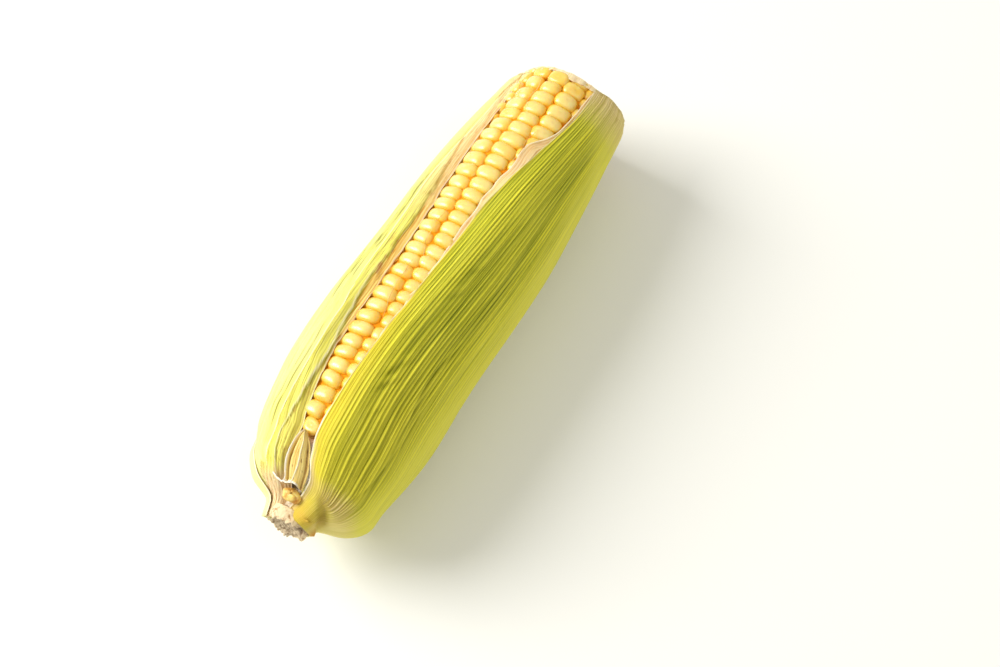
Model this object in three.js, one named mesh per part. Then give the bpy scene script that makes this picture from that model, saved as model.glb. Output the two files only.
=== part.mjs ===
// An ear of corn in its opened husk, trimmed at both ends and lying on its side.
// Millimetres, +Z up. The ear lies along +X: cut shank at -X, cut tip at +X.
// Stations along the ear are x from the shank's cut face. Angles round the ear are degrees
// from straight up (+Z) towards +Y, so 180 is the underside and -90 faces -Y.
import * as THREE from 'three';

// Whole ear
const LENGTH = 175;
const REST_CUT = 1.1; // how far the underside is pressed flat
const BOW = 2.3; // sideways bow of the ear's centre line, towards +Y
const BOW_AT = 58;
const BOW_SPREAD = 36;

// Husk: [station, radius] of its outermost surface
const HUSK_OUTLINE = [
  [3.7, 7.8], [5.4, 10], [8.5, 15.6], [14.5, 21.3], [29, 25], [47, 26.8], [66, 27],
  [108, 26.4], [134, 24.6], [160, 22], [LENGTH, 20.4],
];
const HUSK_MAX_RADIUS = 27;
const LEAF_THICKNESS = 0.5;
const LAYER_STEP = 0.85; // one leaf and the gap under it
const OVERLAP_LAYER = LAYER_STEP; // depth of an outer leaf where another lies over it
const INNER_LAYER = 2 * LAYER_STEP;
const INNER_TRIM = 2.4; // inner leaves are cut this far short of the outer ones
const BASE_CROWDING = 1.6; // puts more stations where the husk curves in to the shank
const LEAF_STATIONS = 20; // shared by all the leaves, so that their layers stay parallel

// Edges of the leaves: [station, angle]
const RIGHT_LEAF_EDGE = [
  [4, 4], [7, -11], [18, -0.4], [27, 3], [45, 3.5], [81, 0.6], [104, 1.2], [121, -1],
  [138, -12], [162, -25.5], [LENGTH, -28],
];
const LEFT_LEAF_EDGE = [
  [4, 33], [11, 40], [30, 40.5], [56, 40], [80, 50], [97, 51], [118, 61], [138, 50], [LENGTH, 54],
];
const UNDER_LEAF_EDGE = [
  [4, 62], [10, 68], [18, 84], [32, 106], [48, 118], [80, 118], [LENGTH, 118],
];
const UNDER_LEAF_FAR_EDGE = 242;
const INNER_LEFT_EDGE = [
  [5, 20], [21, 17.6], [34, 22.5], [56, 27], [73, 27], [88, 32], [114, 43], [136, 46],
  [157, 56], [LENGTH, 62],
];
const TIP_BAND = { width: 3.8, trim: 0.9, low: -46, high: 76 }; // all that is left of the front leaf
const INNER_EDGE_SHOWS = 2; // the inner right leaf stands out past the outer one
const FLAP = { station: 141, spread: 5, angle: 9 }; // lobe on the inner right leaf's edge
const OUTER_FAR_ANGLE = 129; // where the two side leaves end, under the leaf below
const INNER_SEAM = 179.5; // where the two inner leaves meet
const DIVE_FROM = 22; // a side leaf sinks this many degrees before the covering edge
const DIVE_TO = 9;
const COLLAR = { station: 5, spread: 3, angle: -58, width: 26, height: 1.6 };

// Woody axis: [station, radius] of shank and cob
const SHANK_RADIUS = 6.9;
const COB_RADIUS = 13;
const COB_OUTLINE = [
  [0, 0], [0, SHANK_RADIUS], [3, SHANK_RADIUS + 0.2], [3.6, 5.2], [8, 5.2], [17, 11.6],
  [22, COB_RADIUS], [150, 12], [173.4, 11.2], [173.4, 0],
];
const COB_SIDES = 24;

// Kernels
const ROWS = 16;
const KERNEL_PITCH = 4.65;
const KERNELS_FROM = 16;
const KERNELS_TO = 173.4;
const KERNEL_UNDER_HUSK = 3.6; // from the husk's outermost surface to the kernels' crowns
const KERNEL_GROOVE = 1.3;
const KERNEL_SHOULDER = 1.5;
const CROWN_SHARE = 0.68; // flat top of a kernel as a share of its width
const ROW_CLEARANCE = 0.18; // each row keeps this far inside its own sector
const ROW_ROOT_CLEARANCE = 0.35;
const BUTT_ROUNDING = 9; // length over which the ear's butt end rounds in
const FIRST_ROW_ANGLE = 14.5;
const ROW_TWIST = 17.5; // the rows turn by this much between the two stations
const TWIST_FROM = 70;
const TWIST_TO = 150;
const OPEN_ROWS = [15, 16, 1, 2, 3]; // rows in the husk's opening; the others are plain strips
const COVERED_ROW_STATIONS = 10;

// Withered bract and bud at the bottom of the opening
const BRACT_EDGE_LOW = [[8.8, -1], [13, -3.5], [19, 1.5], [24, 6.5]];
const BRACT_EDGE_HIGH = [[8.8, 13], [13, 14.5], [19, 12.5], [24, 9]];
const BRACT_DEPTH = 2.6;
const BRACT_BULGE = 1.5;
const BUD = { station: 8.4, angle: 8, radius: 8.8, size: [1.4, 1.9, 1.4] };

// Silk strands lying on the kernels: [station, angle] along each
const SILK_RADIUS = 0.22;
const SILK_LIFT = 0.75;
const SILK_SIDES = 6;
const SILK_ROUTES = [
  [[118, 8], [128, 14], [138, 20], [147, 16], [152, 12]],
  [[62, 6], [70, 9.5], [79, 8], [87, 11], [94, 15]],
  [[150, 40], [157, 36], [163, 42], [167, 38]],
];

const KERNEL_COLOR = 0xf7d873;
const COB_COLOR = 0xe9dcc0;
const HUSK_GREEN = 0xb3bb4a;
const HUSK_PALE = 0xdcdc8e;
const HUSK_INNER = 0xe6d3a0;
const BRACT_COLOR = 0xc9a878;
const BUD_COLOR = 0xe3c05a;
const SILK_COLOR = 0xa8742e;

const radians = THREE.MathUtils.degToRad;
const smoothstep = THREE.MathUtils.smoothstep;
const lerp = THREE.MathUtils.lerp;
const floorHeight = -(HUSK_MAX_RADIUS - REST_CUT);
const huskCurve = new THREE.SplineCurve(HUSK_OUTLINE.map(([x, r]) => new THREE.Vector2(x, r)));

/** A function of x that runs smoothly through [x, value] pairs and holds the end values. */
function through(points) {
  const curve = new THREE.CubicInterpolant(
    points.map(([x]) => x),
    points.map(([, value]) => value),
    1,
  );
  return (x) => curve.evaluate(x)[0];
}

const huskRadius = through(HUSK_OUTLINE);
const rightLeafEdge = through(RIGHT_LEAF_EDGE);
const leftLeafEdge = through(LEFT_LEAF_EDGE);
const underLeafEdge = through(UNDER_LEAF_EDGE);
const innerLeftEdge = through(INNER_LEFT_EDGE);

function hump(value, centre, spread) {
  return Math.exp(-(((value - centre) / spread) ** 2));
}

/** The point at a station, angle and radius about the ear's bowed centre line. */
function place(x, angle, radius) {
  const a = radians(angle);
  return new THREE.Vector3(
    x,
    BOW * hump(x, BOW_AT, BOW_SPREAD) + radius * Math.sin(a),
    radius * Math.cos(a),
  );
}

/** The point `depth` under the husk's outermost surface, `u` of the way along its outline. */
function underHusk(u, angle, depth) {
  const point = huskCurve.getPointAt(u);
  const tangent = huskCurve.getTangentAt(u);
  const p = place(point.x + tangent.y * depth, angle, point.y - tangent.x * depth);
  p.z = Math.max(p.z, floorHeight + depth);
  return p;
}

function geometryFrom(points, triangles) {
  const geometry = new THREE.BufferGeometry();
  geometry.setAttribute('position', new THREE.Float32BufferAttribute(
    points.flatMap((p) => [p.x, p.y, p.z]), 3,
  ));
  geometry.setIndex(triangles);
  return geometry;
}

/** Closes two grids of points, outer[i][j] over inner[i][j], into one sheet with a rim. */
function closedSheet(outer, inner) {
  const rows = outer.length;
  const columns = outer[0].length;
  const top = (i, j) => i * columns + j;
  const bottom = (i, j) => rows * columns + top(i, j);
  const triangles = [];
  const quad = (a, b, c, d) => triangles.push(a, b, c, a, c, d);
  for (let i = 0; i + 1 < rows; i += 1) {
    for (let j = 0; j + 1 < columns; j += 1) {
      quad(top(i, j), top(i + 1, j), top(i + 1, j + 1), top(i, j + 1));
      quad(bottom(i, j), bottom(i, j + 1), bottom(i + 1, j + 1), bottom(i + 1, j));
    }
  }
  const last = { row: rows - 1, column: columns - 1 };
  for (let i = 0; i + 1 < rows; i += 1) {
    quad(top(i, 0), bottom(i, 0), bottom(i + 1, 0), top(i + 1, 0));
    quad(top(i + 1, last.column), bottom(i + 1, last.column), bottom(i, last.column), top(i, last.column));
  }
  for (let j = 0; j + 1 < columns; j += 1) {
    quad(top(0, j + 1), bottom(0, j + 1), bottom(0, j), top(0, j));
    quad(top(last.row, j), bottom(last.row, j), bottom(last.row, j + 1), top(last.row, j + 1));
  }
  return geometryFrom([...outer.flat(), ...inner.flat()], triangles);
}

/** The shared stations from the shank to `end` short of the tip, as shares of the outline. */
function stationsTo(end) {
  const last = 1 - end / huskCurve.getLength();
  return Array.from({ length: LEAF_STATIONS + 1 }, (_, i) => (
    Math.min(last, (i / LEAF_STATIONS) ** BASE_CROWDING)
  ));
}

/** A leaf of even thickness between two edges, each an angle as a function of station. */
function leaf({ stations = stationsTo(0), low, high, depth, across = 12 }) {
  const grid = (extra) => stations.map((u) => {
    const { x } = huskCurve.getPointAt(u);
    return Array.from({ length: across + 1 }, (__, j) => {
      const angle = lerp(low(x), high(x), j / across);
      return underHusk(u, angle, depth(x, angle) + extra);
    });
  });
  return closedSheet(grid(0), grid(LEAF_THICKNESS));
}

/** Joins matching convex outlines into one closed body with flat ends. */
function loft(sections) {
  const sides = sections[0].length;
  const triangles = [];
  for (let i = 0; i + 1 < sections.length; i += 1) {
    for (let j = 0; j < sides; j += 1) {
      const a = i * sides + j;
      const b = i * sides + ((j + 1) % sides);
      triangles.push(a, b, b + sides, a, b + sides, a + sides);
    }
  }
  const end = (sections.length - 1) * sides;
  for (let j = 1; j + 1 < sides; j += 1) {
    triangles.push(0, j + 1, j);
    triangles.push(end, end + j, end + j + 1);
  }
  return geometryFrom(sections.flat(), triangles);
}

// Woody axis

/** Shank and cob, one grown piece: turned about the ear's axis, then bowed with it. */
function cob() {
  const outline = COB_OUTLINE.map(([x, r]) => new THREE.Vector2(r, x));
  const geometry = new THREE.LatheGeometry(outline, COB_SIDES);
  geometry.rotateZ(-Math.PI / 2);
  const position = geometry.getAttribute('position');
  for (let i = 0; i < position.count; i += 1) {
    const x = position.getX(i);
    position.setY(i, position.getY(i) + BOW * hump(x, BOW_AT, BOW_SPREAD));
  }
  return geometry;
}

function cobRadius(x) {
  return through(COB_OUTLINE.slice(4, -1))(x);
}

// Kernels

function rowAngle(row, x) {
  const step = 360 / ROWS;
  return FIRST_ROW_ANGLE + ROW_TWIST * smoothstep(x, TWIST_FROM, TWIST_TO) - step * (row - 1);
}

function crownRadius(x) {
  const rounding = Math.min(1, (x - KERNELS_FROM + 2) / BUTT_ROUNDING);
  const full = huskRadius(x) - KERNEL_UNDER_HUSK;
  return lerp(full - 4, full, Math.sqrt(1 - (1 - rounding) ** 2));
}

/** One cut across a row: root, shoulders and crown inside the row's own sector. */
function rowSection(row, x, crown) {
  const halfSector = radians(180 / ROWS);
  const root = cobRadius(x) + ROW_ROOT_CLEARANCE;
  const shoulder = Math.max(crown - KERNEL_SHOULDER, root + 0.4);
  const halfWidth = (radius) => radius * Math.tan(halfSector) - ROW_CLEARANCE;
  const corner = (side, radius, width) => {
    const offset = THREE.MathUtils.radToDeg(Math.atan2(side * width, radius));
    return place(x, rowAngle(row, x) + offset, Math.hypot(radius, width));
  };
  return [
    corner(-1, root, halfWidth(root)),
    corner(1, root, halfWidth(root)),
    corner(1, shoulder, halfWidth(shoulder)),
    corner(1, crown, halfWidth(crown) * CROWN_SHARE),
    corner(-1, crown, halfWidth(crown) * CROWN_SHARE),
    corner(-1, shoulder, halfWidth(shoulder)),
  ];
}

/**
 * A row in the husk's opening: a crown for each kernel and a groove between neighbours, with
 * even rows half a kernel further on. The trim at the tip cuts through the last kernel.
 */
function openRow(row) {
  const sections = [];
  const step = KERNEL_PITCH / 2;
  const start = KERNELS_FROM + (row % 2 === 0 ? step : 0);
  for (let i = 0; start + i * step < KERNELS_TO - step / 2; i += 1) {
    const x = start + i * step;
    sections.push(rowSection(row, x, crownRadius(x) - (i % 2 === 0 ? KERNEL_GROOVE : 0)));
  }
  sections.push(rowSection(row, KERNELS_TO, crownRadius(KERNELS_TO) - KERNEL_GROOVE / 2));
  return loft(sections);
}

/** A row that stays under the husk: one even strip at the kernels' mean height. */
function coveredRow(row) {
  return loft(Array.from({ length: COVERED_ROW_STATIONS + 1 }, (_, i) => {
    const share = (i / COVERED_ROW_STATIONS) ** BASE_CROWDING;
    const x = lerp(KERNELS_FROM, KERNELS_TO, share);
    return rowSection(row, x, crownRadius(x) - KERNEL_GROOVE / 2);
  }));
}

// Husk

function collar(x, angle) {
  return COLLAR.height * hump(x, COLLAR.station, COLLAR.spread)
    * hump(angle, COLLAR.angle, COLLAR.width);
}

function outerRightLeaf() {
  const cover = UNDER_LEAF_FAR_EDGE - 360;
  return leaf({
    low: () => -OUTER_FAR_ANGLE,
    high: rightLeafEdge,
    depth: (x, angle) => OVERLAP_LAYER * smoothstep(-angle, -cover - DIVE_FROM, -cover - DIVE_TO)
      - collar(x, angle),
  });
}

function outerLeftLeaf() {
  return leaf({
    low: leftLeafEdge,
    high: () => OUTER_FAR_ANGLE,
    depth: (x, angle) => {
      const cover = underLeafEdge(x);
      return OVERLAP_LAYER * smoothstep(angle, cover - DIVE_FROM, cover - DIVE_TO);
    },
    across: 10,
  });
}

function outerUnderLeaf() {
  return leaf({
    low: underLeafEdge,
    high: () => UNDER_LEAF_FAR_EDGE,
    depth: () => 0,
    across: 16,
  });
}

function innerRightLeaf() {
  return leaf({
    low: () => INNER_SEAM - 360 + 1,
    high: (x) => rightLeafEdge(x) + INNER_EDGE_SHOWS
      + FLAP.angle * hump(x, FLAP.station, FLAP.spread),
    depth: () => INNER_LAYER,
    stations: stationsTo(INNER_TRIM),
    across: 15,
  });
}

function innerLeftLeaf() {
  return leaf({
    low: innerLeftEdge,
    high: () => INNER_SEAM,
    depth: () => INNER_LAYER,
    stations: stationsTo(INNER_TRIM),
    across: 13,
  });
}

/** The end of the front leaf, left across the tip when the husk was opened. */
function tipBand() {
  return leaf({
    stations: [0, 0.5, 1].map((share) => (
      1 - (TIP_BAND.trim + (1 - share) * TIP_BAND.width) / huskCurve.getLength()
    )),
    low: () => TIP_BAND.low,
    high: () => TIP_BAND.high,
    depth: () => OVERLAP_LAYER,
  });
}

// Bract, bud and silk in the opening

function bract() {
  const along = 8;
  const across = 6;
  const low = through(BRACT_EDGE_LOW);
  const high = through(BRACT_EDGE_HIGH);
  const from = BRACT_EDGE_LOW[0][0];
  const to = BRACT_EDGE_LOW.at(-1)[0];
  const grid = (extra) => Array.from({ length: along + 1 }, (_, i) => {
    const x = lerp(from, to, i / along);
    return Array.from({ length: across + 1 }, (__, j) => {
      const share = j / across;
      const bulge = BRACT_BULGE * Math.sin(Math.PI * share);
      return place(x, lerp(low(x), high(x), share), huskRadius(x) - BRACT_DEPTH + bulge - extra);
    });
  });
  return closedSheet(grid(0), grid(LEAF_THICKNESS));
}

function bud() {
  const geometry = new THREE.SphereGeometry(1, 14, 9);
  geometry.scale(...BUD.size);
  const centre = place(BUD.station, BUD.angle, BUD.radius);
  geometry.translate(centre.x, centre.y, centre.z);
  return geometry;
}

function silkStrand(route) {
  const path = new THREE.CatmullRomCurve3(
    route.map(([x, angle]) => place(x, angle, crownRadius(x) + SILK_LIFT)),
  );
  const section = new THREE.Shape(Array.from({ length: SILK_SIDES }, (_, i) => {
    const a = (2 * Math.PI * i) / SILK_SIDES;
    return new THREE.Vector2(SILK_RADIUS * Math.cos(a), SILK_RADIUS * Math.sin(a));
  }));
  return new THREE.ExtrudeGeometry(section, {
    extrudePath: path,
    steps: 4 * route.length,
    bevelEnabled: false,
  });
}

// Assembly

const ear = new THREE.Group();

function add(name, geometry, color, roughness) {
  const material = new THREE.MeshStandardMaterial({ color, roughness, metalness: 0 });
  const mesh = new THREE.Mesh(geometry, material);
  mesh.name = name;
  ear.add(mesh);
}

function numbered(stem, number) {
  return `${stem}_${String(number).padStart(2, '0')}`;
}

add('cob', cob(), COB_COLOR, 0.8);
for (let row = 1; row <= ROWS; row += 1) {
  const geometry = OPEN_ROWS.includes(row) ? openRow(row) : coveredRow(row);
  add(numbered('kernel_row', row), geometry, KERNEL_COLOR, 0.3);
}
add('husk_inner_right', innerRightLeaf(), HUSK_INNER, 0.7);
add('husk_inner_left', innerLeftLeaf(), HUSK_INNER, 0.7);
add('husk_tip_band', tipBand(), HUSK_INNER, 0.7);
add('husk_outer_right', outerRightLeaf(), HUSK_GREEN, 0.6);
add('husk_outer_left', outerLeftLeaf(), HUSK_PALE, 0.6);
add('husk_outer_under', outerUnderLeaf(), HUSK_GREEN, 0.6);
add('base_bract', bract(), BRACT_COLOR, 0.8);
add('base_bud', bud(), BUD_COLOR, 0.5);
SILK_ROUTES.forEach((route, i) => {
  add(numbered('silk_strand', i + 1), silkStrand(route), SILK_COLOR, 0.5);
});

// The origin is on the surface the ear rests on, under the middle of its bounding box.
const box = new THREE.Box3().setFromObject(ear);
const middle = box.getCenter(new THREE.Vector3());
ear.position.set(-middle.x, -middle.y, -box.min.z);

export default ear;
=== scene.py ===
"""The looks of an ear of sweetcorn in its opened husk, lying on its side, built round the CAD frame.

Shapes are worked out in millimetres: a station x from the shank's cut face, an angle round the
ear in degrees from straight up towards +Y, and a radius from the ear's centre line.
"""
import math

import bpy
import numpy as np
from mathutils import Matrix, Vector


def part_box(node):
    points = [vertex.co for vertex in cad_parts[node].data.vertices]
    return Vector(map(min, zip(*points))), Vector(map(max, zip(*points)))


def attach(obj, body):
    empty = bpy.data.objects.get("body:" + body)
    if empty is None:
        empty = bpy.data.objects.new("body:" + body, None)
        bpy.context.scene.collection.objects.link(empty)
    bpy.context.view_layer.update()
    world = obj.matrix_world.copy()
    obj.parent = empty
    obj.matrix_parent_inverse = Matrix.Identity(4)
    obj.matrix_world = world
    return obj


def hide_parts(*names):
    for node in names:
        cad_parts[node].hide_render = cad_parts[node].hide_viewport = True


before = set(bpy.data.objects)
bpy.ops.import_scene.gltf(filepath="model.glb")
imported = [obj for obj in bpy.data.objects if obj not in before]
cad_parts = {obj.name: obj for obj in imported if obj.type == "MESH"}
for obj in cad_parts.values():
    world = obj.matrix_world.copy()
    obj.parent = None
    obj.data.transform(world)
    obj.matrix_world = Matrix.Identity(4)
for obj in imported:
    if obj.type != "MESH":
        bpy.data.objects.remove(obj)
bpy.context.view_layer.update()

MM = 0.001

# ------------ the ear's design, as in the CAD
COB_LOW, COB_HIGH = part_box("cob")
SHANK_X = COB_LOW[0] / MM  # where the shank's cut face is in the row frame
AXIS_Y = -1.66  # the bowed ear's ends lie this far from the middle of its box
AXIS_Z = (COB_LOW[2] + COB_HIGH[2]) / 2 / MM
LENGTH = 175.0
BOW, BOW_AT, BOW_SPREAD = 2.3, 58.0, 36.0  # the bend of the ear's centre line towards +Y

# Radius of the husk's outermost surface, as (station, radius) pairs.
HUSK_OUTLINE = [(0.9, 7.7), (3.7, 8.4), (5.6, 10.6), (8.5, 15.6), (14.5, 21.3), (29, 25),
                (47, 26.8), (66, 27), (108, 26.4), (134, 24.6), (160, 22), (175, 20.4)]
# Edges of the leaves, as (station, angle) pairs. The window shows the kernels, the grain is what
# the right leaf's veins follow, and inside the golden line the inner left leaf is golden.
RIGHT_LEAF_EDGE = [(0.9, 6), (3.3, 3), (4.4, -2), (6.3, -9.6), (8.8, -10.1), (11.8, -6), (16, -0.9),
                   (22.7, 3.2), (27, 3.5), (35, 2), (45, 0.5), (55, -1), (75, -2.6), (90, -3.6),
                   (110, -4.6), (120, -7.6), (140, -17), (157, -27), (175, -31)]
RIGHT_GRAIN = [(0.9, -8), (7, -13), (13, -4), (24, 2), (50, 0), (90, -5), (120, -10), (140, -17),
               (160, -27), (175, -33)]
WINDOW_RIGHT = [(5, -5), (9, -9), (16, 0), (22.7, 4), (27, 4.3), (35, 2.8), (45, 1.4), (55, -0.3),
                (75, -1.8), (85, -1.8), (110, -0.8), (120, -1.2), (129, -4.5), (139, -6), (142.5, -12),
                (150, -21.5), (165, -28), (175, -31)]
LEFT_LEAF_EDGE = [(0.9, 20), (5.5, 33), (9, 47), (13, 45), (19, 41), (30, 41), (44, 39), (58, 39),
                  (80, 48), (97, 51), (118, 58), (138, 55), (150, 57), (162, 62), (175, 66)]
WINDOW_LEFT = [(5, 20), (21, 19), (27, 22.5), (34, 24), (40, 25), (46, 27.5), (56, 28), (70, 28),
               (80, 29), (88, 31.3), (100, 34.3), (110, 37), (120, 40), (130, 42), (140, 43.5),
               (150, 46.5), (158, 51), (166, 58), (175, 62)]
GOLDEN_LINE = [(20, 33), (27, 30), (40, 28.5), (55, 30), (65, 32), (75, 34.5), (88, 37), (110, 42),
               (120, 46), (128, 50), (140, 58), (175, 62)]
UNDER_LEAF_EDGE = [(0.9, 50), (5, 58), (10, 68), (18, 84), (32, 106), (48, 118), (80, 118), (175, 118)]
# How far short of the ear's full length the leaves stop, as (angle, mm) pairs.
TIP_TRIM = [(-180, 0.2), (-129, 0.3), (-95, 0.9), (-60, 2.2), (-30, 3.4), (20, 3.8), (60, 4.8),
            (85, 4), (120, 1.5), (150, 0.4), (180, 0.2), (242, 0.3)]
LEAF = 0.4  # thickness of a leaf away from its edges
OVERLAP_LAYER = 0.85  # how much deeper a leaf lies where another covers it
INNER_LAYER = 1.7  # depth of the inner leaves
CLOSING = 1.1  # how far an outer leaf closes in on the ear at the tip
LEFT_LEAF_HIGH = 129  # angle of the left leaf's covered edge

ROWS = 16
OPEN_ROWS = (15, 16, 1, 2, 3)  # the rows in the window, which get finer meshes
KERNELS_FROM, KERNELS_TO = 16.0, 173.4
FIRST_KERNEL = {1: 25.1, 2: 26.4}  # where the rows start that show their first kernel
CROWN_HEIGHT = 2.1
KERNEL_LENGTH = 7.0  # from the crown's rim down to the cob
BED_DEPTH = 1.8  # how far the cob's surface lies under the kernels' crowns
ROUND_KERNELS_TO = 25.6  # kernels are rounder up to here,
DENTED_KERNELS_TO = 25.5  # and all of them are dented up to here
ROW_1_ANGLE = [(16, 9), (24.5, 10.5), (29.5, 17.5), (35, 16), (44, 17.5), (60, 18.3), (80, 19.5),
               (90, 22.5), (100, 25), (110, 27.7), (120, 30.5), (130, 32.2), (175, 32.6)]


# ------------ curves, noise and places
def through(points):
    """A function that runs smoothly through (station, value) pairs and holds the end values."""
    xs, ys = np.array(points, float).T
    gap = np.diff(xs)
    slope = np.diff(ys) / gap
    tangent = np.zeros_like(ys)
    tangent[0], tangent[-1] = slope[0], slope[-1]
    before, after = slope[:-1], slope[1:]
    turning = before * after > 0
    mean = 2 * before[turning] * after[turning] / (before[turning] + after[turning])
    tangent[1:-1][turning] = mean

    def at(x):
        x = np.clip(x, xs[0], xs[-1])
        i = np.clip(np.searchsorted(xs, x) - 1, 0, len(gap) - 1)
        t = (x - xs[i]) / gap[i]
        ease = t * t * (3 - 2 * t)
        bend = gap[i] * (tangent[i] * t * (1 - t) ** 2 - tangent[i + 1] * t * t * (1 - t))
        return ys[i] + (ys[i + 1] - ys[i]) * ease + bend

    return at


husk_radius = through(HUSK_OUTLINE)
right_leaf_edge = through(RIGHT_LEAF_EDGE)
right_grain = through(RIGHT_GRAIN)
window_right = through(WINDOW_RIGHT)
left_leaf_edge = through(LEFT_LEAF_EDGE)
window_left = through(WINDOW_LEFT)
golden_line = through(GOLDEN_LINE)
under_leaf_edge = through(UNDER_LEAF_EDGE)
tip_trim = through(TIP_TRIM)
row_1_angle = through(ROW_1_ANGLE)


def smoothstep(value, start, end):
    t = np.clip((value - start) / (end - start), 0, 1)
    return t * t * (3 - 2 * t)


def hump(value, centre, spread):
    return np.exp(-(((value - centre) / spread) ** 2))


def mix(a, b, share):
    return a + (b - a) * share


def noise(seed, u, v=0.0, octaves=2):
    """Smooth noise from about -1 to 1, the same on each run."""
    size = 64
    u, v = np.broadcast_arrays(np.asarray(u, float), np.asarray(v, float))
    total = np.zeros(u.shape)
    for octave in range(octaves):
        lattice = np.random.default_rng(seed + 101 * octave).uniform(-1, 1, (size, size))
        a, b = u * 2 ** octave, v * 2 ** octave
        i, j = np.floor(a).astype(int), np.floor(b).astype(int)
        s, t = smoothstep(a - i, 0, 1), smoothstep(b - j, 0, 1)
        near = mix(lattice[i % size, j % size], lattice[i % size, (j + 1) % size], t)
        far = mix(lattice[(i + 1) % size, j % size], lattice[(i + 1) % size, (j + 1) % size], t)
        total += mix(near, far, s) / 2 ** octave
    return total


def bow(x):
    return BOW * hump(x, BOW_AT, BOW_SPREAD)


def place(x, angle, radius):
    """Points in the row frame, in millimetres, from stations, angles and radii."""
    a = np.radians(angle)
    x, a, radius = np.broadcast_arrays(x, a, radius)
    return np.stack([SHANK_X + x, AXIS_Y + bow(x) + radius * np.sin(a),
                     AXIS_Z + radius * np.cos(a)], axis=-1)


FINE_X = np.linspace(HUSK_OUTLINE[0][0], LENGTH, 2000)
FINE_R = husk_radius(FINE_X)
FINE_RUN = np.concatenate([[0], np.cumsum(np.hypot(np.diff(FINE_X), np.diff(FINE_R)))])
FINE_SLOPE = np.arctan2(np.gradient(FINE_R), np.gradient(FINE_X))


def bulge(x, angle):
    """Where the husk stands proud of its outline: full shoulders and two slight swellings."""
    around = (angle + 180) % 360 - 180
    shoulders = 3.1 * hump(x, 10, 6.5) * hump(around, -100, 38)
    shoulders = shoulders + 1.8 * hump(x, 7.5, 4.5) * hump(around, 78, 36)
    return (shoulders + 0.9 * hump(x, 45, 20) * hump(around, -95, 30)
            + 1.0 * hump(x, 130, 25) * hump(around, 80, 30))


def kernel_depth(x):
    """How far the kernels' crowns lie under the husk's outline."""
    return mix(3.4, 2.3, smoothstep(x, 110, 140))


def inner_depth(x, gap, edge_depth):
    """Depth of an inner leaf `gap` mm from its edge, where it sinks onto the kernels."""
    return mix(INNER_LAYER + 0.2, kernel_depth(x) + edge_depth, smoothstep(gap, 4.5, 0))


def under_husk(run, angle, depth, shift=0.0):
    """Points `depth` under the husk's outermost surface, `run` mm along its outline."""
    x = np.interp(run, FINE_RUN, FINE_X)
    r = np.interp(run, FINE_RUN, FINE_R)
    slope = np.interp(run, FINE_RUN, FINE_SLOPE)
    out = bulge(x, angle) - depth
    points = place(x - np.sin(slope) * out + shift, angle, r + np.cos(slope) * out)
    points[..., 2] = np.maximum(points[..., 2], np.maximum(depth, 0))
    return points


# ------------ meshes
def piece(name, points, faces, material, node=None, facts=None):
    """A mesh in the row frame from points in millimetres, riding on the ear."""
    mesh = bpy.data.meshes.new(name)
    mesh.from_pydata((np.asarray(points).reshape(-1, 3) * MM).tolist(), [], faces)
    mesh.validate()
    mesh.shade_smooth()
    for key, values in (facts or {}).items():
        layer = mesh.attributes.new(key, "FLOAT", "POINT")
        layer.data.foreach_set("value", np.asarray(values, np.float32).ravel())
    mesh.materials.append(material)
    obj = bpy.data.objects.new(name, mesh)
    bpy.context.scene.collection.objects.link(obj)
    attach(obj, "root")
    if node:
        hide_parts(node)


def quads(rows, columns, start=0, closed=False):
    """Faces of a grid of points, row by row. A closed grid joins its last column to its first."""
    j = np.arange(columns if closed else columns - 1)
    i = np.arange(rows - 1)[:, None]
    a = start + i * columns + j
    b = start + i * columns + (j + 1) % columns
    return np.stack([a, a + columns, b + columns, b], axis=-1).reshape(-1, 4)


def capped_faces(rows, columns):
    """Faces of a closed grid, facing out where its rings run clockwise, with both ends capped."""
    faces = quads(rows, columns, closed=True)[:, ::-1].tolist()
    last = rows * columns - 1
    return faces + [list(range(columns)), list(range(last, last - columns, -1))]


def sheet_faces(rows, columns):
    """Faces of two grids, outer then inner, joined round their rim."""
    count = rows * columns
    outer = quads(rows, columns)
    inner = quads(rows, columns, count)[:, ::-1]
    grid = np.arange(count).reshape(rows, columns)
    loop = np.concatenate([grid[0, :-1], grid[:-1, -1], grid[-1, :0:-1], grid[:0:-1, 0]])
    ahead = np.roll(loop, -1)
    rim = np.stack([loop, ahead, ahead + count, loop + count], axis=-1)
    return np.concatenate([outer, inner, rim]).tolist()


def on_both_faces(facts):
    """Each fact twice over, for a sheet's outer points and then its inner ones."""
    return {key: np.concatenate([values.ravel()] * 2) for key, values in facts.items()}


def vein_share(x, angle, low, high, grain, free_edge):
    """How far across its leaf a point is, and how far that is from the free edge, as shares."""
    if free_edge == "high":
        share = (angle - low(x)) / (grain(x) - low(x))
        return share, 1 - share
    share = (angle - grain(x)) / (high(x) - grain(x))
    return share, share


def level(angle):
    """An edge that stays at one angle."""
    def edge(x):
        return angle + 0 * x
    return edge


def frayed(reach, seed, length):
    """A ragged wander of an edge, reach degrees to either side with bends length mm long."""
    def wander(x):
        return reach * noise(seed, x / length)
    return wander


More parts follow.
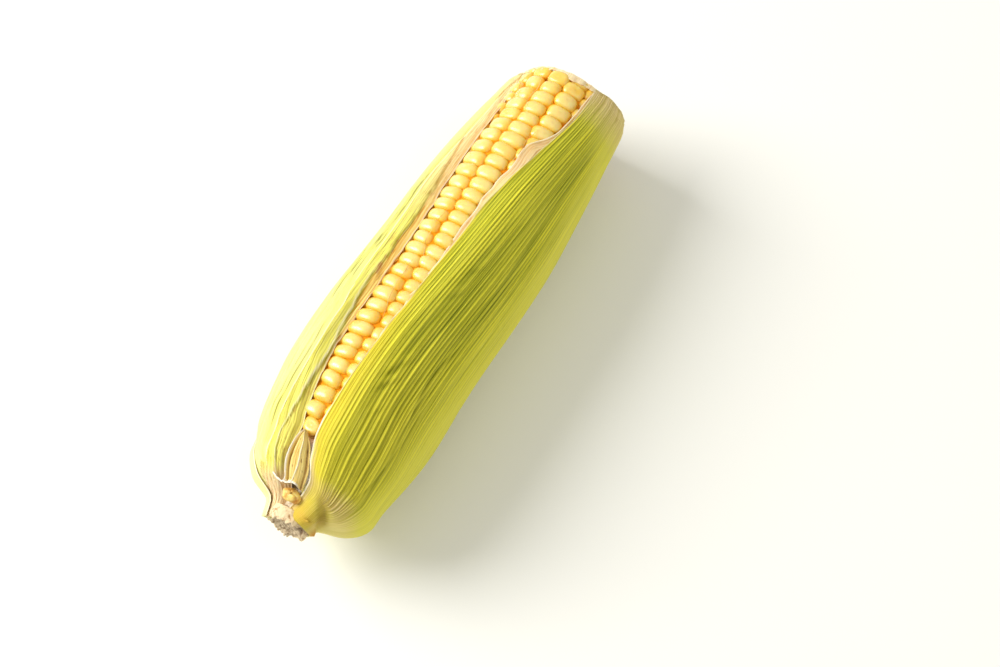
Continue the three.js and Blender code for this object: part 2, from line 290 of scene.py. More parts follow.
def leaf(name, node, slot, material, low, high, depth, rows, columns, start=0.0, trim=tip_trim,
         free_edge="high", fray=level(0), grain=None, shift=None, facts=(), closing=CLOSING):
    """A husk leaf between two edges, each an angle as a function of station.

    depth(x, angle, share, edge) is how far the outer face lies under the husk's outline, where
    edge is the distance in mm from the free edge, and share is constant along a vein: it runs
    from 0 at the low edge to 1 at the high one, with grain in the place of the free edge.
    Facts are more functions of the same, kept as attributes under their own names. Trim is how
    far the leaf stops short of the tip at an angle, and closing how far it closes in there.
    """
    column = np.linspace(0, 1, columns)[None, :]
    down = np.linspace(0, 1, rows)[:, None] ** 1.15  # rows crowd towards the shank

    def angles(x):
        first = low(x) + (fray(x) if free_edge == "low" else 0)
        last = high(x) + (fray(x) if free_edge == "high" else 0)
        return mix(first, last, column)

    run = start + (FINE_RUN[-1] - start) * down
    angle = angles(np.interp(run, FINE_RUN, FINE_X))
    run = start + (FINE_RUN[-1] - trim(angle) - start) * down
    x = np.interp(run, FINE_RUN, FINE_X)
    angle = angles(x)
    grain = grain or (high if free_edge == "high" else low)
    share, from_edge = vein_share(x, angle, low, high, grain, free_edge)
    width = np.radians(high(90.0) - low(90.0)) * husk_radius(90.0)
    nearness = (1 - column) if free_edge == "high" else column
    arc = np.radians(high(x) - low(x)) * husk_radius(x)
    edge = arc * nearness
    tail = FINE_RUN[-1] - trim(angle) - run
    outer_depth = depth(x, angle, share, edge) + closing * smoothstep(tail, 4.5, 0)
    thickness = LEAF * mix(0.35, 1.0, smoothstep(np.minimum(edge, arc - edge), 0, 2.5))
    move = shift(x, angle, share, edge) if shift else 0.0
    outer = under_husk(run, angle, outer_depth, move)
    inner = under_husk(run, angle, outer_depth + thickness, move)
    values = {"along": x, "across": from_edge * width, "inside": 0 * x}
    for fact in facts:
        values[fact.__name__] = np.clip(fact(x, angle, share, edge) + 0 * angle, 0, 1)
    values = on_both_faces(values)
    values["inside"][angle.size:] = 1.0
    points = np.concatenate([outer.reshape(-1, 3), inner.reshape(-1, 3)])
    piece(name, points, sheet_faces(rows, columns), material, node, values)


def ribs(seed, phase, along):
    """Ridges from 0 in the grooves to 1 on the crests, each with a strength of its own."""
    number = np.floor(phase)
    crest = np.abs(np.sin(math.pi * (phase - number))) ** 0.75
    return crest * (0.64 + 0.36 * noise(seed, number * 3.71, along / 30))


def veins(seed, phase, x):
    """Main ribs with a finer one on each side: relief from 0 to 1."""
    phase = phase + 0.3 * noise(seed, phase / 2.3)
    main = ribs(seed + 1, phase, x)
    half = ribs(seed + 2, 2 * phase + 0.4, x)
    return 0.62 * main + 0.38 * half


# ------------ materials
class Nodes:
    """Short calls for building a node tree."""

    def __init__(self, name):
        self.material = bpy.data.materials.new(name)
        self.material.use_nodes = True
        self.tree = self.material.node_tree
        self.shader = self.tree.nodes["Principled BSDF"]

    def new(self, kind, inputs=None, **settings):
        node = self.tree.nodes.new("ShaderNode" + kind)
        for key, value in settings.items():
            setattr(node, key, value)
        for key, value in (inputs or {}).items():
            self.set(node.inputs[key], value)
        return node

    def set(self, socket, value):
        if isinstance(value, bpy.types.NodeSocket):
            self.tree.links.new(value, socket)
        else:
            socket.default_value = value

    def fact(self, name):
        """A value that a piece's points carry."""
        return self.new("Attribute", attribute_name=name).outputs["Fac"]

    def math(self, operation, a, b=0.0, clamp=False):
        node = self.new("Math", {0: a, 1: b}, operation=operation, use_clamp=clamp)
        return node.outputs[0]

    def mix(self, share, a, b):
        node = self.new("Mix", data_type="RGBA")
        self.set(node.inputs["Factor"], share)
        self.set(node.inputs[6], a)
        self.set(node.inputs[7], b)
        return node.outputs[2]

    def ramp(self, value, *stops):
        node = self.new("ValToRGB", {"Fac": value})
        elements = node.color_ramp.elements
        while len(elements) < len(stops):
            elements.new(0.5)
        for element, (position, colour) in zip(elements, stops):
            element.position = position
            element.color = colour
        return node.outputs["Color"]

    def range(self, value, a, b, low=0.0, high=1.0):
        node = self.new("MapRange", {0: value, 1: a, 2: b, 3: low, 4: high})
        return node.outputs[0]

    def here(self):
        """Object coordinates, in metres."""
        return self.new("TexCoord").outputs["Object"]

    def noise(self, scale, detail, vector):
        inputs = {"Scale": scale, "Detail": detail, "Roughness": 0.55, "Vector": vector}
        return self.new("TexNoise", inputs).outputs["Fac"]

    def leaf_vector(self, along_scale, across_scale):
        """Coordinates that run with a leaf's veins."""
        a = self.math("MULTIPLY", self.fact("along"), along_scale)
        b = self.math("MULTIPLY", self.fact("across"), across_scale)
        return self.new("CombineXYZ", {0: a, 1: b}).outputs[0]

    def bump(self, height, strength, distance):
        node = self.new("Bump", {"Height": height, "Strength": strength, "Distance": distance})
        return node.outputs[0]

    def finish(self, **sockets):
        for key, value in sockets.items():
            self.set(self.shader.inputs[key.replace("_", " ")], value)
        return self.material


def rgb(r, g, b):
    """A colour given as 0 to 255 screen values, as the linear values that Blender wants."""
    def linear(c):
        c /= 255
        return c / 12.92 if c <= 0.04045 else ((c + 0.055) / 1.055) ** 2.4
    return (linear(r), linear(g), linear(b), 1.0)


def husk_material(name, groove, ridge, pale):
    """Veined leaf: dark grooves and light ribs, golden near the window and tan where it is dry."""
    n = Nodes(name)
    streak = n.noise(1.0, 4.0, n.leaf_vector(0.02, 2.2))
    fine = n.noise(1.0, 2.0, n.leaf_vector(0.05, 7.0))
    patch = n.noise(1.0, 2.0, n.leaf_vector(0.035, 0.1))
    speck = n.noise(1.0, 3.0, n.leaf_vector(0.3, 1.3))
    rib = n.math("ADD", n.range(n.fact("rib"), 0.12, 0.85), n.range(streak, 0.3, 0.7, -0.3, 0.3),
                 clamp=True)
    colour = n.mix(rib, groove, ridge)
    colour = n.mix(n.fact("gold"), colour, n.mix(rib, rgb(170, 148, 0), rgb(246, 228, 70)))
    tone = n.math("ADD", n.fact("pale"), n.range(patch, 0.3, 0.7, -0.12, 0.12), clamp=True)
    colour = n.mix(tone, colour, n.mix(0.3, pale, colour))
    colour = n.mix(n.range(fine, 0.45, 0.7, 0.0, 0.35), colour, pale)
    tan = n.mix(rib, rgb(196, 166, 92), rgb(252, 230, 176))
    tan = n.mix(n.range(speck, 0.58, 0.8, 0.0, 0.5), tan, rgb(158, 112, 60))
    dryness = n.math("ADD", n.fact("dry"), n.range(streak, 0.35, 0.7, -0.2, 0.2), clamp=True)
    dryness = n.math("MULTIPLY", dryness, n.range(n.fact("dry"), 0.02, 0.2))
    colour = n.mix(dryness, colour, tan)
    colour = n.mix(n.fact("margin"), colour, rgb(252, 240, 208))
    colour = n.mix(n.fact("scar"), colour, rgb(204, 126, 50))
    colour = n.mix(n.math("MULTIPLY", n.fact("inside"), 0.8), colour, rgb(238, 232, 190))
    height = n.math("ADD", n.math("MULTIPLY", streak, 0.7), n.math("MULTIPLY", fine, 0.5))
    return n.finish(Base_Color=colour, Roughness=n.range(streak, 0.3, 0.7, 0.42, 0.58),
                    Normal=n.bump(height, 0.4, 0.0004), Specular_IOR_Level=0.13,
                    Subsurface_Weight=0.1, Subsurface_Radius=(0.6, 0.8, 0.15),
                    Subsurface_Scale=0.002)


def kernel_material():
    """Juicy kernels: cream crowns, orange-yellow flanks, glossy skins that let light in. The colour by
    height is partly their own and partly painted light: paler on the lit crowns, deeper orange down
    the shaded flanks.
    """
    n = Nodes("kernel_skin")
    geometry = n.here()
    mottle = n.noise(420.0, 3.0, geometry)
    cloud = n.noise(160.0, 2.0, geometry)
    # partly painted light: the ramp below runs from deep orange in the shaded depths to cream on the
    # lit crowns, over the kernels' own cream-to-orange
    height = n.math("ADD", n.fact("crown"), n.range(cloud, 0.3, 0.7, -0.06, 0.06), clamp=True)
    skin = n.ramp(height, (0.0, rgb(238, 144, 8)), (0.5, rgb(248, 174, 16)),
                  (0.66, rgb(249, 184, 28)), (0.84, rgb(250, 200, 68)),
                  (0.98, rgb(251, 220, 134)))
    skin = n.mix(n.math("MULTIPLY", n.fact("ripe"), 0.4), skin, rgb(247, 196, 74))
    skin = n.mix(n.range(mottle, 0.5, 0.8, 0.0, 0.3), skin, rgb(254, 236, 172))
    flesh = n.ramp(mottle, (0.3, rgb(250, 226, 150)), (0.7, rgb(255, 244, 205)))
    colour = n.mix(n.fact("cut"), skin, flesh)
    whole = n.math("SUBTRACT", 1.0, n.fact("cut"))
    return n.finish(Base_Color=colour, Roughness=0.33, Specular_IOR_Level=0.5,
                    Subsurface_Weight=n.math("MULTIPLY", whole, 0.4),
                    Subsurface_Radius=(1.0, 0.55, 0.12), Subsurface_Scale=0.003,
                    Coat_Weight=whole, Coat_Roughness=0.27,
                    Normal=n.bump(cloud, 0.12, 0.0005))


def cob_material():
    """Pale pith with fibres, a woody rind, orange bedding between the kernels, painted shade darkening
    the stub towards its cut end and filling the hole.
    """
    n = Nodes("cob_pith")
    geometry = n.here()
    fibre = n.noise(900.0, 4.0, geometry)
    cells = n.new("TexVoronoi", {"Vector": geometry, "Scale": 900.0}).outputs["Distance"]
    pith = n.ramp(fibre, (0.3, rgb(206, 186, 152)), (0.62, rgb(248, 240, 220)))
    pith = n.mix(n.range(cells, 0.2, 0.05, 0.0, 0.35), pith, rgb(176, 140, 98))
    rind = n.ramp(fibre, (0.3, rgb(176, 122, 74)), (0.5, rgb(238, 216, 176)))
    # painted shade: the shank's stub turns darker brown-grey towards its cut end, for shade on faces
    # turned from the light
    broken_painted_shade = n.ramp(fibre, (0.3, rgb(120, 92, 62)), (0.62, rgb(226, 206, 172)))
    colour = n.mix(n.fact("broken_painted_shade"), pith, broken_painted_shade)
    colour = n.mix(n.fact("rind"), colour, rind)
    colour = n.mix(n.fact("bed"), colour, rgb(242, 152, 14))
    # painted shade: the hole is painted near-black brown for the shade inside it
    colour = n.mix(n.fact("hole_and_painted_shade"), colour, rgb(66, 34, 12))
    return n.finish(Base_Color=colour, Roughness=0.75, Specular_IOR_Level=0.2,
                    Normal=n.bump(n.math("ADD", fibre, cells), 0.45, 0.0004))


def membrane_material():
    """Inner leaf: golden and streaked near the kernels, yellow-green further out."""
    n = Nodes("husk_membrane")
    streak = n.noise(1.0, 4.0, n.leaf_vector(0.03, 1.8))
    fine = n.noise(1.0, 2.0, n.leaf_vector(0.06, 6.0))
    line = n.noise(1.0, 2.0, n.leaf_vector(0.04, 3.4))
    blotch = n.noise(1.0, 3.0, n.leaf_vector(0.16, 0.5))
    rib = n.math("ADD", n.fact("rib"), n.range(streak, 0.3, 0.7, -0.3, 0.3), clamp=True)
    golden = n.mix(rib, rgb(220, 150, 32), rgb(254, 226, 132))
    golden = n.mix(n.range(line, 0.54, 0.62, 0.0, 0.35), golden, rgb(190, 106, 24))
    green = n.mix(rib, rgb(140, 130, 0), rgb(253, 244, 112))
    colour = n.mix(n.fact("green"), golden, green)
    blushed = n.mix(rib, rgb(216, 164, 104), rgb(250, 226, 180))
    colour = n.mix(n.fact("blush"), colour, blushed)
    brown = n.math("MULTIPLY", n.range(blotch, 0.54, 0.68), n.fact("dry"), clamp=True)
    colour = n.mix(brown, colour, rgb(166, 108, 46))
    colour = n.mix(n.range(fine, 0.52, 0.72, 0.0, 0.45), colour, rgb(254, 244, 186))
    colour = n.mix(n.fact("margin"), colour, rgb(250, 238, 210))
    return n.finish(Base_Color=colour, Roughness=0.55, Specular_IOR_Level=0.2,
                    Subsurface_Weight=0.2, Subsurface_Radius=(1.0, 0.7, 0.3),
                    Subsurface_Scale=0.002, Normal=n.bump(streak, 0.4, 0.0004))


def bract_material():
    """Dry little leaf: beige, with white edges and painted shade in its hollows."""
    n = Nodes("bract_paper")
    streak = n.noise(1.0, 4.0, n.leaf_vector(0.1, 2.4))
    speck = n.noise(1.0, 3.0, n.leaf_vector(0.6, 2.0))
    colour = n.ramp(streak, (0.3, rgb(202, 158, 70)), (0.65, rgb(244, 220, 140)))
    colour = n.mix(n.range(speck, 0.6, 0.7, 0.0, 0.7), colour, rgb(132, 82, 34))
    # painted shade: dark brown laid into the hollows beside the bract's belly
    hollow_painted_shade = n.math("ADD", n.fact("hollow_painted_shade"), n.range(streak, 0.3, 0.7, -0.15, 0.15), clamp=True)
    hollow_painted_shade = n.math("MULTIPLY", hollow_painted_shade, n.range(n.fact("hollow_painted_shade"), 0.05, 0.3))
    colour = n.mix(hollow_painted_shade, colour, rgb(112, 64, 28))
    colour = n.mix(n.fact("margin"), colour, rgb(250, 240, 222))
    return n.finish(Base_Color=colour, Roughness=0.65, Specular_IOR_Level=0.25,
                    Subsurface_Weight=0.15, Subsurface_Radius=(1.0, 0.7, 0.3),
                    Subsurface_Scale=0.002, Normal=n.bump(streak, 0.5, 0.0004))


def bud_material():
    """Waxy yellow skin with ochre patches."""
    n = Nodes("bud_skin")
    speck = n.noise(500.0, 3.0, n.here())
    colour = n.ramp(speck, (0.35, rgb(206, 138, 44)), (0.62, rgb(246, 216, 124)))
    return n.finish(Base_Color=colour, Roughness=0.45, Subsurface_Weight=0.3,
                    Subsurface_Radius=(1.0, 0.6, 0.1), Subsurface_Scale=0.002)


def floor_material():
    """Pale studio paper, very slightly uneven."""
    n = Nodes("studio_floor")
    soft = n.noise(3.0, 2.0, n.here())
    colour = n.ramp(soft, (0.2, (0.9, 0.9, 0.89, 1)), (0.8, (0.92, 0.92, 0.91, 1)))
    return n.finish(Base_Color=colour, Roughness=0.9, Specular_IOR_Level=0.1)


def silk_material():
    """Golden threads, browner in places."""
    n = Nodes("silk_thread")
    shade = n.noise(260.0, 2.0, n.here())
    colour = n.ramp(shade, (0.35, rgb(210, 146, 66)), (0.7, rgb(248, 216, 144)))
    return n.finish(Base_Color=colour, Roughness=0.4)


# ------------ kernels
def row_angle(row, x, across=0.0):
    """Angle of a row, or of a point across degrees from its middle.

    The rows stand closer together in the window's narrow part than at the tip.
    """
    turn = -360 / ROWS * (row - 1) + across
    crowding = 6.5 * smoothstep(x, 125, 95)
    return row_1_angle(x) + turn - crowding * np.sin(np.radians(turn))


def crown_radius(x):
    rounding = np.minimum(1, (x - KERNELS_FROM + 2) / 9)
    full = husk_radius(x) - kernel_depth(x)
    return mix(full - 4, full, np.sqrt(np.maximum(0, 1 - (1 - rounding) ** 2)))


def kernel_stations(row, rng):
    """Middles and lengths of a row's kernels, longer near both ends than halfway."""
    station = FIRST_KERNEL.get(row, KERNELS_FROM + (4.4 if row % 2 == 0 else 2.2))
    middles, lengths = [], []
    while station < KERNELS_TO + 2.6:  # the last ones are cut
        pitch = 4.55 + 0.6 * smoothstep(station, 40, 26) + 0.45 * smoothstep(station, 106, 122)
        pitch *= 1 + 0.035 * rng.normal()
        middles.append(station)
        lengths.append(pitch)
        station += pitch
    return np.array(middles)[:, None, None], np.array(lengths)[:, None, None]


def kernel_grid(around, down):
    """A kernel's points: how far out on its crown, how far down its sides, and which way."""
    dome = 0.66  # share of the rings that lie on the crown
    theta = (2 * math.pi * np.arange(around) / around)[None, None, :]
    step = np.linspace(0, 1, down)[None, :, None]
    rho = np.minimum(1, np.sin(np.minimum(step / dome, 1) * math.pi / 2) ** 0.8)
    sink = np.maximum(0, (step - dome) / (1 - dome))
    return rho, sink, theta


def kernel_faces(count, around, down):
    """Faces of a row of kernels, each a closed grid with a cap at both ends."""
    per = down * around
    faces = quads(down, around, closed=True)
    faces = (faces[None] + (np.arange(count) * per)[:, None, None]).reshape(-1, 4).tolist()
    for first in range(0, count * per, per):
        faces.append(list(range(first + around - 1, first - 1, -1)))
        last = first + per - around
        faces.append(list(range(last, last + around)))
    return faces


def tip_cut(angle, count):
    """Stations of the tip's cut, 0.2 mm apart from kernel to kernel so that no two coincide."""
    around_ear = (angle + 180) % 360 - 180
    end = np.minimum(KERNELS_TO, LENGTH - tip_trim(around_ear) - 0.6)
    return end - 0.2 * np.arange(count - 1, -1, -1)[:, None, None]


def kernel_row(row, material):
    """All the kernels of one row: rounded oblongs pressed against each other."""
    rng = np.random.default_rng(7000 + row)
    around, down = (36, 18) if row in OPEN_ROWS else (18, 10)
    centre, length = kernel_stations(row, rng)
    count = len(centre)

    def each(middle, spread):
        return rng.normal(middle, spread, count)[:, None, None]

    size, swell, turn, shift = each(1, 0.035), each(0, 0.14), each(0, 4), each(0, 0.22)
    rho, sink, theta = kernel_grid(around, down)
    square = np.where(centre < ROUND_KERNELS_TO, 2.1, 3.0 + each(0, 0.25))
    outline = (np.abs(np.cos(theta)) ** square + np.abs(np.sin(theta)) ** square) ** (-1 / square)
    a0 = rho * outline * np.cos(theta) * (1 - 0.1 * sink)
    b0 = rho * outline * np.sin(theta) * (1 - 0.12 * sink)
    # Each is a little larger than its place, so that neighbours press together.
    half_wide = 360 / ROWS / 2 * 1.09 * size  # in degrees, before the rows crowd together
    half_long = length / 2 * 1.12
    ca, sa = np.cos(np.radians(turn)), np.sin(np.radians(turn))
    a = a0 * half_wide * ca - b0 * 3.0 * sa
    b = b0 * half_long * ca + a0 * 3.2 * sa

    height = CROWN_HEIGHT * (np.maximum(0, 1 - rho ** 2.6) ** 0.55 - 1) - sink * KERNEL_LENGTH
    lean = rng.uniform(-1, 1, count)[:, None, None]
    height = height + 0.16 * lean * a0 * (1 - sink) - 0.12 * b0 * (1 - sink)
    dented = (centre < DENTED_KERNELS_TO) | (centre > 166)
    dented = dented | (rng.random(count)[:, None, None] < 0.06)
    height = height - np.where(dented, 0.5, 0.0) * hump(rho, 0.15, 0.42)

    radius = crown_radius(centre) + swell
    angle = row_angle(row, centre + b, a) + np.degrees(shift / radius)
    end = tip_cut(angle, count)
    cut = centre + b > end
    x = np.where(cut, end - 0.1 * (b < 0), centre + b)
    ripe = rng.random(count)[:, None, None] + 0 * x
    # height share that the skin's colour ramp reads, partly as painted light
    crown = np.clip(1 + (height / (2 * CROWN_HEIGHT)), 0, 1)
    facts = {"crown": crown + 0 * x, "ripe": ripe, "cut": cut * 1.0}
    piece("kernels_%02d" % row, place(x, angle, radius + height),
          kernel_faces(count, around, down), material, "kernel_row_%02d" % row, facts)


def kernels():
    material = kernel_material()
    for row in range(1, ROWS + 1):
        kernel_row(row, material)


# ------------ shank and cob
# (station, radius) pairs from the middle of the shank's cut round to the middle of the tip's.
COB_OUTLINE = [(0, 0), (0, 3), (0, 5.8), (0.2, 6.7), (1.0, 7.0), (3.2, 6.9), (3.8, 5.4), (8, 5.2),
               (17, 11.6), (22, 13.3), (150, 12.4), (173.0, 11.6), (173.2, 9), (172.9, 4),
               (172.9, 0)]


def fine_cob_outline():
    """Stations and radii along the cob, closer together near both ends."""
    x, r = [], []
    for (x0, r0), (x1, r1) in zip(COB_OUTLINE, COB_OUTLINE[1:]):
        steps = 10 if x1 < 20 or x0 > 160 else 40
        x += list(np.linspace(x0, x1, steps, endpoint=False))
        r += list(np.linspace(r0, r1, steps, endpoint=False))
    return np.array(x)[1:, None], np.array(r)[1:, None]


def cob():
    """The woody axis: a torn shank with a hole in its cut end, and the bed that the kernels stand on;
    the stub's cut end and the hole are painted darker as shade.
    """
    sides = 120
    x, r = fine_cob_outline()
    bed = smoothstep(x, 19, 25) * smoothstep(x, 169, 165)
    r = mix(r, crown_radius(x) - BED_DEPTH, bed)
    theta = np.linspace(-180, 180, sides, endpoint=False)[None, :]
    torn = smoothstep(x, 2.5, 0) * smoothstep(r, 3.5, 6.6)
    grain = 0.6 * noise(31, theta / 7, x / 9) + 0.4 * noise(36, theta / 3.1, x / 4)
    skin = 0.3 * noise(32, theta / 24, x / 3) * smoothstep(x, 4, 2) * (r > 2)
    hole_and_painted_shade = np.minimum(1, 1.5 * hump(theta, -62, 20) * hump(r, 5.4, 1.5))
    hole_and_painted_shade = hole_and_painted_shade * smoothstep(x, 1.6, 0.4)
    radius = r + 0.3 * torn * grain + skin - 1.2 * hole_and_painted_shade
    ragged = torn * (1.1 + 0.7 * noise(33, theta / 11)) + 1.6 * torn * hump(theta, -100, 16)
    rough = smoothstep(x, 0.6, 0) * 0.3 * noise(34, r * 1.2, theta / 18)
    slant = 0.75 * tip_trim(theta) * r / 20 * smoothstep(x, 160, 172)
    points = place(x - ragged + rough + 2.2 * hole_and_painted_shade - slant, theta, radius).reshape(-1, 3)
    rind = smoothstep(r, 5.6, 6.8) * smoothstep(x, 8, 3) + 0 * theta
    # the stub's darkening and the hole's dark brown are painted shade
    facts = {"rind": rind, "broken_painted_shade": smoothstep(x, 6, 3) + 0 * rind, "hole_and_painted_shade": hole_and_painted_shade + 0 * rind,
             "bed": bed + 0 * rind}
    piece("cob_and_shank", points, capped_faces(len(x), sides), cob_material(), "cob",
          facts)


# ------------ husk: the leaf on the right
# Short pinches of the right leaf: station, angle and depth in mm.
PINCHES = [(53.3, -24.4, 0.32), (45.4, -23.0, 0.42), (49.7, -21.7, 0.3), (91.9, -28.9, 0.2),
           (81.2, -27.2, 0.2), (37, -27, 0.15)]
# Long soft folds of the right leaf: (station, angle) points, depth in mm and width in degrees.
FOLDS = [([(11, -50), (20, -56), (35, -55.5), (48, -53)], 0.28, 1.1),
         ([(41, -51), (47, -48), (56, -46.5), (70, -51)], 0.42, 1.3),
         ([(60, -66), (75, -68), (90, -67)], 0.2, 1.3),
         ([(100, -47), (125, -50), (150, -57)], 0.15, 1.3)]


def folds(x, angle):
    """Height of the folds and pinches, each a groove with a low ridge beside it."""
    height = 0 * angle
    for points, deep, wide in FOLDS:
        off = angle - through(points)(x)
        first, last = points[0][0], points[-1][0]
        inside = smoothstep(x, first - 4, first + 5) * smoothstep(x, last + 4, last - 6)
        height = height - inside * deep * hump(off, 0, wide)
        height = height + inside * 0.55 * deep * hump(off, 2.2 * wide, 1.4 * wide)
    for px, pa, size in PINCHES:
        slant = angle - pa + 1.6 * (x - px)
        height = height - size * hump(slant, 0, 2.6) * hump(x, px, 3.5) * hump(angle, pa, 4.5)
        height = height + 0.6 * size * hump(slant, 5, 3) * hump(x, px + 1.5, 4) * hump(angle, pa, 5)
    return height


def under_right_edge(x):
    """The under leaf's other edge, which turns under the ear at the shank end."""
    return 242 - 22 * smoothstep(x, 46, 18)


def right_low_edge(x):
    """The right leaf's covered edge, 11 degrees past the under leaf's."""
    return under_right_edge(x) - 371


def right_pattern(x, share):
    return veins(12, (1 - share) * 50, x)


def pleats(x, share):
    return ribs(16, (1 - share) * 58, x)


def gathered(x, angle):
    """Where the leaf's foot is gathered above the knob."""
    return hump(x, 9.5, 3.0) * hump(angle, -46, 27)


def knob_crease(x, angle):
    """The fold that parts the knob at the leaf's foot from the pleats above it."""
    return hump(x, 6.8 + 0.08 * (angle + 50), 0.8) * hump(angle, -60, 22)


def knob_height(x, angle, edge):
    """The leaf's foot: a knob and a smaller one beside it, a crease, and a raised rim."""
    knob = 3.0 * hump(x, 3.8, 2.1) * hump(angle, -40, 20)
    nub = 1.6 * hump(x, 1.8, 1.0) * hump(angle, -86, 9)
    rim = 0.5 * smoothstep(edge, 1.2, 0.3) * smoothstep(x, 12, 6)
    return knob + nub - 1.4 * knob_crease(x, angle) + rim


def knob_overhang(x, angle, share, edge):
    """The foot stands out over the shank below its knob."""
    return -0.5 * smoothstep(x, 6, 0.9) * hump(angle, -60, 42)


def right_relief(x, angle, share, edge):
    """Ribs, broad swells, folds and creases, in mm outwards."""
    strong = mix(1.0, 0.35, smoothstep(angle, -52, -78) * smoothstep(x, 168, 140))
    strong = strong * mix(1, 0.7, smoothstep(x, 90, 125)) * mix(1, 0.75, smoothstep(x, 55, 30))
    strong = strong * mix(0.8, 1.0, smoothstep(edge, 0, 5)) * smoothstep(x, 6, 15)
    broad = noise(14, (1 - share) * 13, x / 90, 1)
    creases = hump(x, 58.5, 1.8) * hump(angle, -84, 14)
    creases = creases + 0.6 * hump(x, 66, 1.6) * hump(angle, -86, 9)
    height = 0.74 * strong * right_pattern(x, share)
    height = height + 0.14 * broad * smoothstep(angle, -5, -25)
    return height + folds(x, angle) - 0.3 * creases


def right_depth(x, angle, share, edge):
    above = angle - (under_right_edge(x) - 360)  # degrees above the under leaf's edge
    dive = OVERLAP_LAYER * smoothstep(above, 22, 9)
    calm = mix(0.3, 1, smoothstep(above, 2, 25))
    gather = smoothstep(x, 20, 11) * smoothstep(x, 6.8, 8.8) * hump(angle, -46, 30)
    pleat = 0.42 * gather * pleats(x, share)
    overlap = np.radians(window_right(x) - right_leaf_edge(x)) * husk_radius(x)
    on_inner = inner_depth(x, overlap, -0.3) - 0.35 - 0.3 * smoothstep(x, 60, 30)
    settle = mix(on_inner, 0.35, smoothstep(edge, 0, 6.5))
    relief = calm * right_relief(x, angle, share, edge)
    return dive + settle - relief - pleat - knob_height(x, angle, edge)


def right_leaf(material):
    def rib(x, angle, share, edge):
        flank = smoothstep(angle, -52, -78) * smoothstep(x, 165, 140)
        faded = mix(right_pattern(x, share), 0.62, 0.6 * flank)
        faded = mix(faded, 0.5, smoothstep(x, 7.5, 5.5))
        # painted shade and light: fold grooves darker and their ridges lighter, the hollows between
        # the foot's pleats and the knob's crease darker
        hollows = gathered(x, angle) * (1 - pleats(x, share))
        return faded + 0.45 * folds(x, angle) - 0.5 * hollows - 1.2 * knob_crease(x, angle)

    def gold(x, angle, share, edge):
        near_window = 0.75 * smoothstep(edge, 9, 0.5) * smoothstep(x, 110, 30)
        rim = 0.6 * smoothstep(edge, 1.6, 0.2)
        belly = 0.3 * smoothstep(x, 80, 30) * smoothstep(angle, -75, -45)
        return near_window + rim + belly + 0.2 * smoothstep(x, 24, 10)

    def pale(x, angle, share, edge):
        flank = 0.75 * smoothstep(angle, -52, -88)
        foot = 0.3 * smoothstep(x, 22, 8)
        knob = 0.45 * smoothstep(x, 7, 5) * smoothstep(angle, -80, -60)
        tip = 0.6 * smoothstep(x + 0.25 * (-angle - 40), 148, 166)
        return flank + foot - knob + tip + 0.12 * noise(18, x / 40, angle / 12)

    def dry(x, angle, share, edge):
        foot = 0.5 * smoothstep(x, 12, 7) * smoothstep(angle, -55, -75)
        strip = 0.7 * hump(edge, 1.1, 0.9) * smoothstep(x, 24, 14)
        tip = smoothstep(x, 154, 173) * (0.6 + 0.4 * share)
        knob = 0.15 * smoothstep(x, 7, 4.5) * smoothstep(angle, -85, -65)
        return 0.75 * gathered(x, angle) + foot + strip + tip + knob

    def scar(x, angle, share, edge):
        nub = 0.8 * hump(x, 1.6, 1.2) * hump(angle, -84, 8)
        knob = 0.4 * hump(x, 3, 2.4) * hump(angle, -38, 28)
        # the last term is painted shade: a little orange-brown laid along the knob's crease
        return nub + knob + 0.15 * knob_crease(x, angle)

    def margin(x, angle, share, edge):
        wide = smoothstep(edge, 0.75, 0.25) * smoothstep(x, 34, 24)
        return wide + 0.5 * smoothstep(edge, 0.5, 0.1)

    leaf("right_leaf", "husk_outer_right", "husk_green", material, right_low_edge,
         right_leaf_edge, right_depth, 120, 415, fray=frayed(0.5, 19, 9), grain=right_grain,
         shift=knob_overhang, facts=(rib, gold, pale, dry, scar, margin))


# ------------ husk: the other leaves
def golden_wave(x):
    return 0.5 * noise(61, x / 6) + 0.3 * noise(62, x / 2.4)


def inner_left_depth(x, angle, edge):
    """Depth of the inner leaf left of the window: thinner layers end in wavy steps on it."""
    wave = golden_wave(x)
    layers = 0 * angle
    for across, deep in ((0.0, 0.5), (0.38, 0.3), (0.72, 0.3)):
        line = mix(golden_line(x), window_left(x), across) + wave * (1 - 0.4 * across)
        layers = layers + deep * smoothstep(angle, line - 0.3, line + 0.7)
    return inner_depth(x, edge, 0.5) - 0.2 + 0.5 * (1.1 - layers)


def left_foot(x, angle, share, edge):
    """The leaves' feet reach down over the shank."""
    return -3.0 * smoothstep(x, 5, 0.9) * hump(angle, 66, 46)


